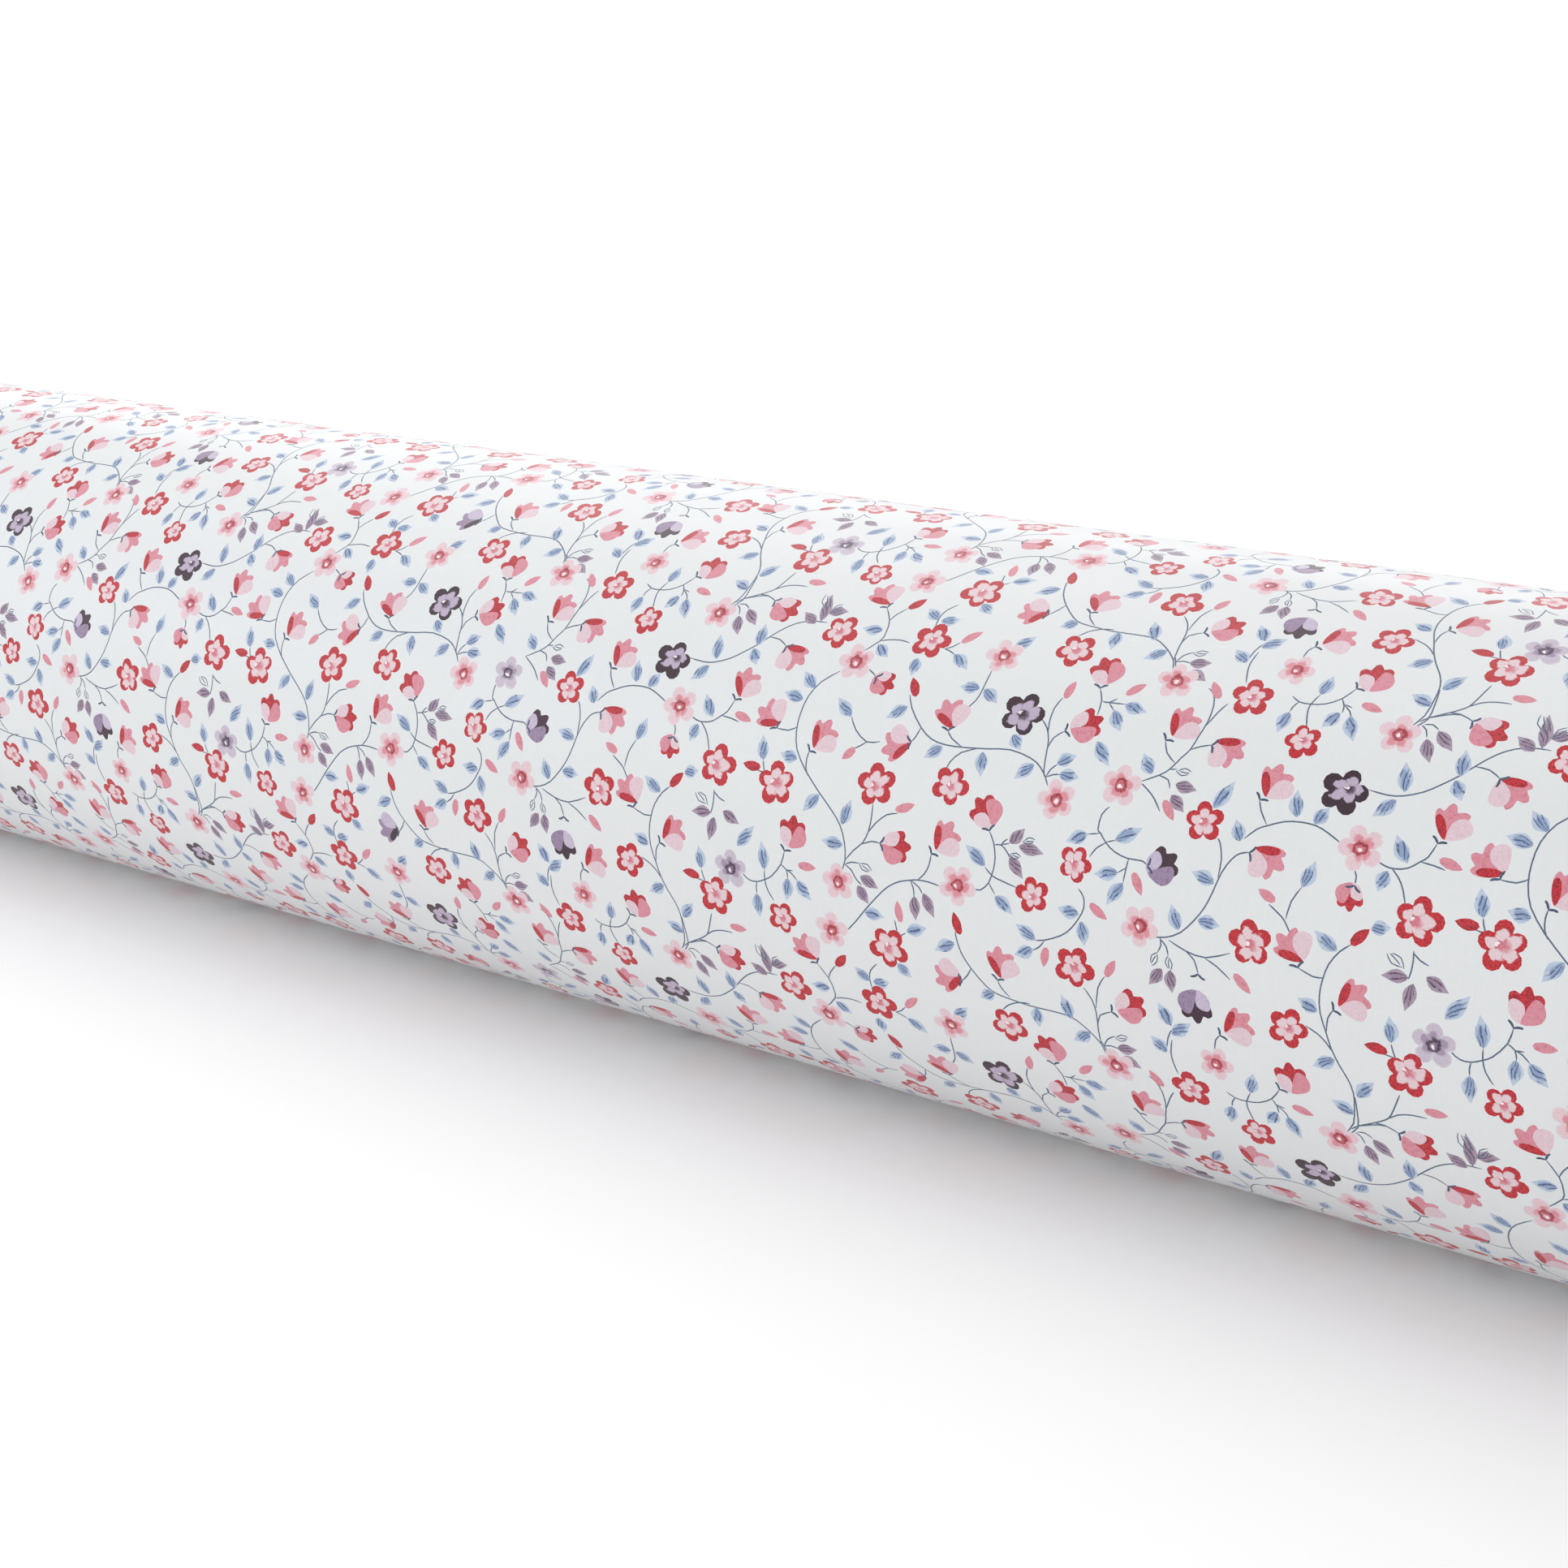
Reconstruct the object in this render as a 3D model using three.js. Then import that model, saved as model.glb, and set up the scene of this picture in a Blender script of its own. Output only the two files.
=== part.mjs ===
// A roll of printed oilcloth: one length of coated cloth, wound face out on itself and lying on its side.
// Millimetres. +X runs along the roll, +Z is up, and the origin is under its middle, at the centre of the
// flat spot that it lies on. A wound roll is one solid here, with the true outline of its last turn.
import * as THREE from "three";

// Driving dimensions.
const CLOTH_WIDTH = 1400; // from cut edge to cut edge, which is the roll's length
const OUTER_RADIUS = 65.5; // at the loose end, the outermost point of the winding
const TURN_PITCH = 0.54; // cloth of 0.5 with the air that is wound in
const FLAT_WIDTH = 18; // the roll's own weight presses this width flat
const LOOSE_END_ANGLE = 225; // degrees from the top, over the front and under, to the loose end at the back
const STEPS_PER_TURN = 120;

const CLOTH_COLOUR = 0xf1f2f3;
const CLOTH_ROUGHNESS = 0.42;

const TURN = 2 * Math.PI;
const looseEnd = THREE.MathUtils.degToRad(LOOSE_END_ANGLE);

// The spiral's radius where the last turn, unwound from the loose end, has gone back by this angle.
function radiusBefore(angleBack) {
  return OUTER_RADIUS - (TURN_PITCH * angleBack) / TURN;
}

// How far below the roll's centre the flat spot lies.
function flatDepth() {
  const radiusAtBottom = radiusBefore(looseEnd - Math.PI);
  return Math.sqrt(radiusAtBottom ** 2 - (FLAT_WIDTH / 2) ** 2);
}

// The outline of the last turn, with the loose end's edge as a small step, seen along the roll.
function outlinePoints() {
  const depth = flatDepth();
  const points = [];
  for (let i = 0; i <= STEPS_PER_TURN; i++) {
    const angleBack = (TURN * i) / STEPS_PER_TURN;
    const angle = looseEnd - angleBack;
    const radius = radiusBefore(angleBack);
    const height = Math.max(radius * Math.cos(angle), -depth);
    points.push(new THREE.Vector2(-radius * Math.sin(angle), height + depth));
  }
  const box = new THREE.Box2().setFromPoints(points);
  const middle = (box.min.x + box.max.x) / 2;
  return points.map((point) => new THREE.Vector2(point.x - middle, point.y));
}

// The wound cloth, extruded from one cut edge to the other.
function woundRoll() {
  const geometry = new THREE.ExtrudeGeometry(new THREE.Shape(outlinePoints()), {
    depth: CLOTH_WIDTH,
    bevelEnabled: false,
  });
  geometry.translate(0, 0, -CLOTH_WIDTH / 2);
  const mesh = new THREE.Mesh(
    geometry,
    new THREE.MeshStandardMaterial({
      color: CLOTH_COLOUR,
      roughness: CLOTH_ROUGHNESS,
      metalness: 0,
    }),
  );
  mesh.name = "oilcloth_roll";
  // The outline is drawn across the roll and upwards, so its plane is turned to face along +X.
  mesh.rotation.set(Math.PI / 2, Math.PI / 2, 0);
  return mesh;
}

const oilclothRoll = new THREE.Group();
oilclothRoll.add(woundRoll());

export default oilclothRoll;
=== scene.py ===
import math
import random

import bmesh
import bpy
import numpy as np
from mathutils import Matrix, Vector
from mathutils.geometry import delaunay_2d_cdt


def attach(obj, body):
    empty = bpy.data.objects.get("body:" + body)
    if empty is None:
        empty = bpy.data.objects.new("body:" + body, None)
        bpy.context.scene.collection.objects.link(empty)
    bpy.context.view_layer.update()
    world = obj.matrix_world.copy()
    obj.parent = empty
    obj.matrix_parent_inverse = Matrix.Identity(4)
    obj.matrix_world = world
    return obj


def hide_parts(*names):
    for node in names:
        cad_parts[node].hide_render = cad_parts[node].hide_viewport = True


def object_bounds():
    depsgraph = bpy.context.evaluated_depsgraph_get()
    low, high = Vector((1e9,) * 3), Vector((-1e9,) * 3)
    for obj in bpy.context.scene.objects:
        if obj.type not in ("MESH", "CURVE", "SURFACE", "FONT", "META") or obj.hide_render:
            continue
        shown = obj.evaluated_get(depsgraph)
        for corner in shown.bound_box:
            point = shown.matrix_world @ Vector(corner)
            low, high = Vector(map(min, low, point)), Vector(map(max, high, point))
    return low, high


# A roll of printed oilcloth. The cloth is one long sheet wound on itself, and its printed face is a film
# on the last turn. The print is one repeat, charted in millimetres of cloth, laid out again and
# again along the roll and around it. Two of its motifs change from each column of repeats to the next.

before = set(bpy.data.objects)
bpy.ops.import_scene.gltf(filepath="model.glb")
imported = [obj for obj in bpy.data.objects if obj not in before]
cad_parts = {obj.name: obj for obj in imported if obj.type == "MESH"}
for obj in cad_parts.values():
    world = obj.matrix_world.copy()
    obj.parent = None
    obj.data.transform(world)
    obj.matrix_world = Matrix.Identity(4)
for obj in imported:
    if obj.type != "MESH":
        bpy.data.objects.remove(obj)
cad_low, cad_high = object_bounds()

MM = 0.001
TURN = 2 * math.pi

# ------------------------------------------------
# The roll's own sizes, in millimetres, as the CAD model has them.

CLOTH_WIDTH = (cad_high[0] - cad_low[0]) / MM
OUTER_RADIUS = 65.5
TURN_PITCH = 0.54
FLAT_WIDTH = 18.0
LOOSE_END = math.radians(225)
EYE_RADIUS = 2.6
FILM = 0.08  # the printed coating stands this far outside the cloth under it
CLOTH_THICKNESS = 0.40


def radius_at(angle):
    """The outer radius of the winding at an angle from the top, over the front. It falls turn by turn."""
    return OUTER_RADIUS - TURN_PITCH * (LOOSE_END - angle) / TURN


UNDERSIDE_RADIUS = radius_at(math.pi)
FLAT_DEPTH = math.sqrt(UNDERSIDE_RADIUS ** 2 - (FLAT_WIDTH / 2) ** 2)
AXIS_HEIGHT = FLAT_DEPTH
AXIS_Y = TURN_PITCH / 4  # the spiral's middle stands off the box's, because its radius falls as it winds


def wrap(angle, radius):
    """The y and z, in millimetres, of a point of the winding, pressed flat a little where it lies."""
    pressed = radius * FLAT_DEPTH / UNDERSIDE_RADIUS
    height = np.maximum(radius * np.cos(angle), -np.minimum(pressed, FLAT_DEPTH))
    return AXIS_Y - radius * np.sin(angle), AXIS_HEIGHT + height


# ------------------------------------------------
# The chart of one repeat, in millimetres of cloth: x along the roll, and v down its front.
# Angles are in degrees, clockwise from x.

REPEAT_ALONG = Vector((152.4, 1.23))
REPEAT_AROUND = Vector((0.5, 79.8))
CHART_X = 138.3  # the chart's own zero on the roll
CHART_V = 58.43
WINDOW = Vector((-100.4, -20.0))  # the corner where one repeat starts

# x, v, diameter, direction of one petal, for each bloom
RED_BLOOMS = [
    (-26.3, -11.8, 8.8, -8), (-47.8, -10.3, 8.2, 9), (-27.3, 20.2, 9, -30), (-10.8, 17.4, 8, 4),
    (-51, 24.3, 9, -25), (-47.5, 52.5, 7.3, 4), (-21.5, 53.2, 9.2, 17), (-95.7, -5.2, 7.2, -40),
    (-66.3, 23, 9, -10), (-96.3, 33.3, 9, -30), (-87.7, 47.8, 8, 0), (-64.7, 51.3, 9, -8),
    (5.1, -15.1, 8, 17), (44, -11.3, 8.2, -26), (43, 14.5, 7.8, -30), (19.2, 27.3, 7.2, 0),
    (10.9, 35, 7.2, -34), (20.8, 47.4, 8.7, 6),
]
PLUM_BLOOMS = [(0.1, 0.5, 9, -5), (-85, 3, 9, -5)]
SOFT_BLOOMS = [
    (-41, -4, 8.6, -35), (-9.2, -11.2, 8, -38), (-33.5, 41.5, 8, -28), (-35.2, 52.5, 8, -18),
    (-5.7, 36.5, 8.4, 10), (-78.8, -10, 8.3, -20), (-79.3, 12.5, 8.6, -42), (28.2, -12.1, 8.3, -30),
    (12.5, 16.1, 8, -38), (49.9, -19.1, 7.5, 0), (34, 36.2, 8.3, 12),
]
LILAC_BLOOMS = [(-60.5, 44.2, 8.5, -18)]
# One bloom and one tulip change from each column of repeats to the next.
EVEN_SOFT_BLOOM = (24.8, 10.9, 8.5, -18)
ODD_LILAC_BLOOM = (25, 14, 8, -20)

# x, v of the base, direction of the mouth, and length unless it is the usual one, for each tulip
CUP_TULIPS = [
    (-40.3, -19.3, -140), (-43.8, 15.7, -65), (-13.7, 6.2, -120), (-22, 10.6, 160),
    (-11.3, 30.6, -60), (-58.8, -4.7, 35), (-65, 8.2, -85),
    (-53.3, 12, -155), (-99, 6.7, -75), (-98.5, 16.3, 30), (-85.8, 34.5, -140),
    (-78.3, 41.3, -40), (-100, 52, -40), (31.9, -0.3, -70), (40.4, -0.9, 25),
    (4.7, 53.7, -90),
]
OPEN_TULIPS = [
    (-35.3, -1.7, 25, 5.6), (-46, 36.7, -80), (-23.8, 31.7, 0), (0.2, 23.7, -130),
    (-66.4, -15, 25), (-87, 61.7, -90), (-79.2, 18.8, 90, 5.2), (14.8, -8.7, -115),
    (11, 1.9, -25), (30, 54.3, -30),
]
PLUM_TULIPS = [(34, 26, -35), (46.4, 46, 90)]
CHANGING_TULIP = (-4.6, 55.5, 160)  # pink in the even columns, and plum in the odd ones

# x, v of the base and x, v of the tip, for each leaf and bud
BLUE_LEAVES = [
    (-38.5, -12.3, -43.3, -12.1), (-37.8, -8.8, -34.3, -6.2), (-27.7, -17.2, -31, -19.8),
    (-26.8, -17, -22.7, -18.2), (-27.7, -7.3, -27.3, -3), (-20, -9.5, -15.7, -6.5),
    (-8, -13.2, -4.5, -17), (-11.2, -3, -15.7, -2.7), (-10.2, -3, -6.3, -0.5),
    (-25.3, 3.5, -29.3, 6.8), (-37.3, 7.8, -41.7, 4.3), (-48, 3.3, -51.7, 0),
    (-49.8, 6.2, -54.8, 5.3), (-14.7, 10.3, -18.2, 13.2), (-5.7, 9.7, -4.7, 14.7),
    (-47.2, 18.5, -51.5, 18), (-40.2, 24.7, -43.5, 28.8), (-33.8, 29.7, -32.5, 24.3),
    (-33, 33.8, -38.2, 33.7), (-46, 43.3, -46.2, 48.3), (-43.7, 43.3, -40, 47),
    (-27, 46.7, -22.2, 46.7), (-17, 48.7, -12.2, 46.8), (-19.7, 56.5, -16.5, 59),
    (-5.8, 48.5, -10.5, 51.3), (0, 31.5, -5, 28.2), (-96, -15.5, -95.2, -20.3),
    (-75.5, -17, -79.8, -19), (-91, -12.3, -93.3, -8.7), (-89, -12, -86.5, -6.8),
    (-100.3, -10.7, -101, -6), (-74.3, 1, -75.8, -4.8), (-75.3, 2.7, -78.8, 6.5),
    (-65.7, -3.7, -66.2, -9.2), (-66.2, -3, -64, 0.7), (-92.2, 9.3, -93.5, 4.2),
    (-88.8, 9.8, -86.7, 6.3), (-70.3, 13.5, -73.5, 8.8), (-73.5, 15.5, -74.5, 19.5),
    (-55.2, 20.2, -56.7, 15), (-88.3, 21.5, -86.7, 16.3), (-79.8, 31.3, -84.5, 28.5),
    (-74.3, 26.2, -70.7, 25.2), (-82.3, 43.3, -86.2, 41.5), (-78.5, 51.8, -82.8, 54.3),
    (-74.3, 58.7, -71, 54.5), (-68.2, 45.8, -69, 40.8), (-59, 39, -55, 33.8),
    (-51.8, 42.7, -53, 36.7), (-53.8, 48.3, -53.3, 53.8), (11.8, -21.5, 12, -16.7),
    (23.4, -18.7, 19.4, -15.8), (39.7, -18.9, 36.4, -21.8), (20.1, -5, 25, -4.2),
    (18.4, -3.5, 21.3, 0.7), (17.3, 3.4, 21.3, 7.9), (-0.5, 5.2, 2.1, 8),
    (10.6, 9.3, 14.2, 6.9), (11.6, 11.2, 16, 11.2), (5.9, 10.2, 2.5, 13.8),
    (30.3, 7.8, 27.4, 4), (44, 11.9, 46.8, 6), (50.7, 16.9, 49, 13),
    (20.5, 21.3, 16.3, 23.5), (26.3, 21.4, 31.4, 18), (28.1, 27.2, 23.2, 28.4),
    (29.5, 28.9, 26.7, 33.7), (47.5, 25.4, 42.6, 24.1), (41.9, 35.3, 39.8, 30.8),
    (45.4, 32.7, 50, 32.9), (21.2, 36.7, 16.5, 36.3), (21.8, 37.9, 22.9, 42.7),
    (2.8, 36.9, 7, 39.8), (12.3, 43.8, 7.8, 41.4), (11.8, 45.7, 7.7, 47.9),
    (19.9, 59, 17.9, 54), (41.4, 54.7, 38.6, 50.4), (41.4, 56.6, 45.4, 53.1),
    (2.8, 57.5, -0.5, 59.5),
]
PURPLE_LEAVES = [
    (-28.3, 39.3, -23.8, 41), (-28.8, 41.3, -26, 44.7), (-15.3, 40.7, -14.8, 45.8),
    (-13.3, 39.7, -10.5, 44.3), (-72.3, -12, -68.5, -8.3), (-73.8, -10, -71.7, -5.3),
    (-54.7, -11.2, -58.5, -13.7), (-53.7, -12, -54.8, -19.5), (-53, -14.5, -48.5, -15.5),
    (-66.3, 33.2, -71.3, 33.8), (-65.3, 34, -66.3, 39.3), (-63.2, 32.3, -58.8, 34.3),
    (28.9, -16.6, 33.3, -17.5), (29.5, -14.7, 33.8, -13), (35.5, 8.8, 40, 9.2),
    (35.3, 10.9, 38.6, 13.7), (4.5, 26.1, 7.3, 22.7), (6.6, 26.3, 12.2, 26.8),
    (5, 28.6, 8.5, 32.4), (39.2, 43.4, 36.7, 47.2), (40.9, 43.3, 41.6, 47.8),
]
SKETCHED_LEAVES = [
    (-28.8, 36.5, -25.7, 37.9), (-52.8, -14.4, -50.6, -17), (-54.2, -15, -55.8, -19.2),
    (-67.3, 31.8, -70.6, 29.4), (28.6, -19.1, 31.6, -19.6), (34.8, 6.2, 37.9, 6.2),
    (38.2, 40.4, 36.9, 43.2), (40.3, 40.6, 40.8, 43.4), (7.2, 25.2, 9.9, 24.7), (4.9, 28.1, 7.4, 28.5),
]
RED_BUDS = [
    (-35.7, -18.8, -32.8, -22.2), (-24.3, 1.2, -26.7, -2.8), (-4.5, 46.5, -6.2, 42),
    (-77.5, 29.7, -74.5, 26.2), (-55.5, 21.8, -60, 21.6), (-68.7, 47.8, -73.2, 47.3),
]
PINK_BUDS = [
    (-19.8, -12.5, -16.3, -16), (-34.2, 14, -36.7, 16.7), (-22, 24.5, -17.7, 22.6),
    (-43.5, 40, -39, 39.8), (-18.3, 47, -19.3, 42.5), (-87.8, -15, -83.5, -14),
    (-65, 11.7, -60.5, 12.8), (-92.7, 25, -96.3, 23.4), (-98.8, 39.8, -95.2, 43),
    (-61.8, 57.8, -57.3, 57.7), (7.5, -4, 8.3, -8.2), (19.4, -7.1, 22.7, -10.2),
    (38, -9.7, 35.3, -13.3), (34.1, 12.1, 37, 15.6), (31.2, 26.5, 33.6, 30.5),
    (23.2, 34.1, 27.2, 36.5), (14.8, 44.7, 14.2, 49), (27.6, 47.8, 29.5, 44),
]
# Each vine is the x, v of every point that it runs through, in order.
VINE_ROWS = [
    (-43.7, -1.3, -47, 1.7, -48.8, 5.3, -49.3, 9.3, -49, 13, -47.7, 16.7, -45, 20, -44, 21, -40.3, 24.3,
     -37, 27, -34.3, 29.7, -32.7, 33, -32.1, 36.7, -33, 39.7),
    (-25.8, 1, -24.3, 3.7, -20.8, 7.3, -17.7, 9.2, -14.3, 9.8, -10, 9.6, -5, 9, 0, 8.3, 4.9, 9.2, 7.3, 10.5,
     9, 12.3, 9.9, 13.8),
    (-7, 9.3, -10.3, 10.7, -12.2, 13, -12.7, 15),
    (-20.8, 7.3, -21.3, 9.3, -22, 10.5),
    (-10.6, 9.6, -13.3, 8.3, -14.7, 6.9),
    (-80.7, 1.8, -77, 2.1, -74.3, 1.7, -71, 0.3, -68.3, -1.7, -65.7, -4, -63.3, -6.7, -60.7, -9.3, -58, -11,
     -55, -11.8, -52, -11.9),
    (-63.7, -6.2, -61, -6, -58.8, -4.7),
    (-101, 15, -99, 12.8, -97.2, 11.8, -94.3, 10.5, -91.3, 10, -88.3, 10.1, -85.7, 11, -82.7, 12.5),
    (-97.5, 11.6, -99.2, 9.3, -100, 7.4),
    (53, 18.5, 51.3, 19, 49.9, 20.4, 48.5, 23.2, 47.5, 27, 46.4, 30.1, 44.7, 32.9, 42.3, 35.7, 39.5, 37.2,
     36.7, 37.7),
    (-76.7, 13.7, -74.3, 14.7, -72.3, 14.9, -70, 14.3, -68.2, 12.8, -67, 11.7, -66, 9),
    (-68.1, 12.8, -65.6, 13, -63.5, 13.4),
    (-73, 14.8, -71.3, 16.3, -70, 18.3, -69, 21),
    (-79.6, 16.2, -78.8, 17.6, -78.8, 19.2),
    (-77.5, 29.7, -79.3, 31.3, -81, 34, -81.8, 37, -82.1, 40, -81.7, 43.3, -80.3, 47, -79.3, 49.7, -77.7,
     52.7, -76, 55.3, -75, 58, -74.9, 61.1, -75.3, 65.1, -77, 68),
    (-84.3, 46.5, -82, 47.5, -80.3, 48.8, -79.2, 50.2),
    (-66.3, 55.8, -67, 58, -68, 60.8, -69, 62.1, -71.3, 63.6, -74.3, 65.3, -75.8, 66.6),
    (-69, 62.1, -66.7, 60.3, -64, 59.5, -61.3, 59.4),
    (-71.3, 63.6, -69.3, 63.5, -66.7, 64.5),
    (-31.5, 51.8, -29.3, 49.3, -27, 46.3, -24.3, 43, -21.7, 40.2, -19, 38.5, -16.5, 37.7, -14.8, 37.3,
     -12.3, 37.2, -9.5, 37.5),
    (-27.3, 24.2, -27.1, 26.7, -27.3, 29.7, -28.3, 32.3, -30.3, 34.3, -32.1, 36.7),
    (-21.3, 25.1, -23.7, 25.8, -26, 28, -27.3, 30),
    (-24.3, 31.7, -26.3, 31.7, -28.8, 32.8),
    (-5.7, 46, -5.3, 47.7, -4.3, 50.3, -2.2, 53.2, 1.1, 56.4, 3.5, 57.6, 7.3, 58.1, 11.1, 58.4, 15.6, 58.3,
     19.8, 58.5, 22.5, 59.9, 24.6, 61.6, 26.2, 63.5, 26.7, 65.2),
    (10.8, 57.9, 8.3, 58.3, 5.9, 59.5, 4.4, 61.1),
    (-0.3, 24.6, 1.1, 26.7, 1.9, 29.4, 1.9, 31.8, 1.2, 34.6, 0, 36, -1, 36.5, -3.8, 36.4),
    (20.5, 31.8, 21.8, 33.2, 22.1, 35.3, 21.3, 37.4, 19.8, 39.8, 17.7, 41.7, 14.2, 43.4, 12.3, 43.8),
    (14.2, 43.6, 13.2, 45, 11.8, 46),
    (23.7, 15.4, 22.5, 17.1, 22.4, 20, 23.1, 20.6, 24.6, 22.2, 26.7, 23.5, 29.5, 24.2, 32.7, 24.1, 33.8,
     24.9),
    (24.6, 22.2, 22.9, 23.5, 21.8, 25.4),
    (35, -11.6, 36.4, -10.6, 37.4, -8.2, 37.6, -4.7, 36.9, -1.2, 36.2, 1.7, 35, 3.6, 33.6, 6, 31.9, 7.6,
     28.4, 9.6),
    (40, -9, 38.8, -6.8, 37.6, -3.7),
    (40, 0, 38, 0.7, 36.2, 1.7),
    (30.8, 0.7, 31.9, 3.1, 34.1, 4.8),
    (28.4, 9.6, 30.5, 10.9, 32.2, 12.3, 33.9, 14.4),
    (31.6, 7.7, 33.8, 8.2, 34.6, 9.8),
    (4.5, 1.1, 6.1, 2.6, 7.3, 5, 7.7, 7.4, 8.3, 11.2, 9, 12.3),
    (7, -4.2, 6.1, -1.6, 6.2, 1.5, 6.8, 4),
    (10, 2.6, 8.2, 4.3, 7.7, 6.4),
    (9, 12.4, 9.6, 10.6, 10.7, 9.4),
    (9.2, 12.2, 10.4, 11.5, 11.8, 11.2),
    (22.9, 51.2, 24.6, 53.3, 25.5, 56.1, 25.7, 60, 26, 63),
    (27.4, 47.8, 26, 50.5, 25.5, 55),
    (28.8, 55, 26.3, 56.4, 25.7, 58.8),
    (40.2, 37.6, 43.7, 38.9, 47.8, 39.3, 52.5, 37.4),
    (47.8, 39.5, 50.2, 40.5, 53, 42.4),
    (43.7, 38.9, 45.6, 40.3, 46.6, 42.8),
    (-58.2, 43.3, -57.3, 44.7, -55.7, 45.7, -53.7, 45.7, -51.7, 44.8, -50, 43.7, -47.7, 40.7, -47, 37.7),
    (-53.7, 45.7, -53.9, 47, -53.8, 48.3),
    (-51.8, 42.7, -51.7, 44.8, -51, 47, -49.5, 49),
    (-101, -14.2, -99.3, -13.2, -97, -13.1, -94.3, -13.7, -91.7, -15.5, -90, -18.2),
    (-91.7, -15.4, -90.8, -13.9, -90.6, -12.4),
    (-90.8, -14.1, -89.4, -13, -88.6, -11.6),
    (-96, -15.5, -97, -13, -96.8, -10.7, -95.8, -7.7),
    (-99.3, -13.2, -100, -12, -100.2, -10.8),
    (-40.5, -18.2, -38.2, -15, -37.5, -12, -37.8, -9.7, -40.8, -6.3),
    (-38.2, -15, -37.4, -16.8, -35.8, -18.8),
    (-37.8, -9.7, -36, -10.3, -33.3, -10.7, -31, -10.4),
    (-22.7, -10.4, -21.2, -11.2, -20, -12.5),
    (-22.7, -10.4, -21.3, -10.1, -20, -9.5),
    (-39.2, -2.8, -37, -2.7, -35, -1.5),
    (-25.2, -22, -27, -20, -27.6, -17.7, -27.3, -15.3),
    (-10.3, -7.8, -10.5, -3, -11, -0.3, -12.7, 2.2),
    (-37.2, 7.8, -35.3, 10.3, -32, 12.3, -29, 11.7),
    (-32, 12.3, -33.2, 13.3, -34.6, 14.2),
    (13.7, -7.6, 15.1, -5, 15.4, -1.9),
    (15.4, -4.8, 17.4, -4.9, 20.1, -5.1),
    (0, 31.7, 1.8, 33.1, 4.2, 33.7, 7.3, 34.3),
    (46.4, 17.1, 47.1, 18, 48, 20.8, 48, 24.2),
    (40.9, -22, 40.5, -18.9, 40.9, -16.5, 41.6, -14.2),
    (-88.3, 21.5, -89.7, 24.3, -90.2, 27.7),
    (-93.8, 25.7, -92, 26.8, -90.4, 28, -88.7, 30.5),
    (-81.7, 36.7, -83.7, 36.9, -86.7, 35.9),
    (-79.3, 42.3, -80.2, 44, -80.3, 46.7),
    (-75.2, -12.8, -73.7, -13.1, -72.3, -12.2),
    (-75.6, -12.6, -74.5, -11.8, -73.9, -10.3),
    (-77, -11.7, -75, -14, -74.9, -17.5, -75.2, -21),
    (-75.3, -14.2, -72.2, -15.6, -69.5, -16.2, -67.2, -15.2),
    (-32.1, 37.6, -30.6, 36.8, -28.8, 36.7),
    (-32.1, 37.6, -30.6, 38.3, -29.7, 39.4, -28.9, 40.3, -27.8, 41),
    (-16.5, 37.6, -15.6, 39.3, -15.4, 41),
    (-16.3, 37.7, -14.4, 38.7, -13.5, 39.9),
    (-47.8, 40.7, -46.3, 41.6, -45.9, 43.4),
    (-46.3, 41.6, -45, 42.1, -43.6, 43.3),
    (-46.3, 41.6, -44.7, 41.5),
    (-66.1, 28.3, -65.9, 30, -66, 32, -66.3, 33.4),
    (-66.1, 28.6, -64.7, 29.7, -63, 30.3),
    (1.3, 27.1, 2.8, 26.8, 4.3, 27.9, 5.2, 29),
    (2.8, 26.8, 3.3, 26, 4, 25.4),
    (2.9, 26.7, 4.5, 26.2),
    (38.3, 37.4, 38.7, 38.9, 38.1, 40.4),
    (38.5, 37.8, 39.8, 39, 40.3, 40.6),
    (29.8, 24.2, 29.6, 26.3, 29.5, 28.8),
    (29.5, 26.1, 28.1, 27.2),
    (20.5, 21.3, 22.9, 20.7),
    (26.5, 21.3, 24.5, 22.1),
    (1.2, 34.6, 2.8, 36.6),
    (40.1, 60.5, 40.6, 57.5, 41.4, 55.6),
    (-102.2, 56.5, -102, 54.2, -101.1, 52.9),
    (-44.7, 16.5, -44.9, 18, -44.6, 20, -43.8, 21.4),
    (-12.3, 31.5, -12.5, 33.8, -13.4, 35.8, -14.8, 37.3),
    (-2.2, 53.3, -3.1, 55, -4.4, 56.6),
    (-49, 12, -51, 13.1, -53.9, 13.1),
    (3.8, 54.4, 4.6, 56, 6.4, 57.6),
    (-55.2, 20.2, -54.9, 21.3, -54.2, 22.8),
    (-56.2, 22.4, -54.3, 22.7),
    (-68.2, 46, -67.8, 47.2, -67.1, 48.9),
    (-69.8, 48.2, -67.5, 48.5),
    (-17.2, 49, -18.8, 50.1),
    (-19.8, 46.8, -19.5, 48, -19.2, 49.6),
    (15.4, -4.8, 16.8, -4.9, 18.1, -6),
    (16.8, -4.8, 18.3, -3.4),
    (26.1, -16.3, 27, -18.2, 28.7, -19.4),
    (26.1, -16.3, 27.5, -16.8, 29.2, -16.6),
    (25.5, -17.5, 26.1, -16.3, 26.8, -14.5),
    (33.4, 6.2, 34.9, 5.9),
    (-90.8, -14.3, -89.2, -13.8),
]
VINES = [list(zip(row[::2], row[1::2])) for row in VINE_ROWS]

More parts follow.
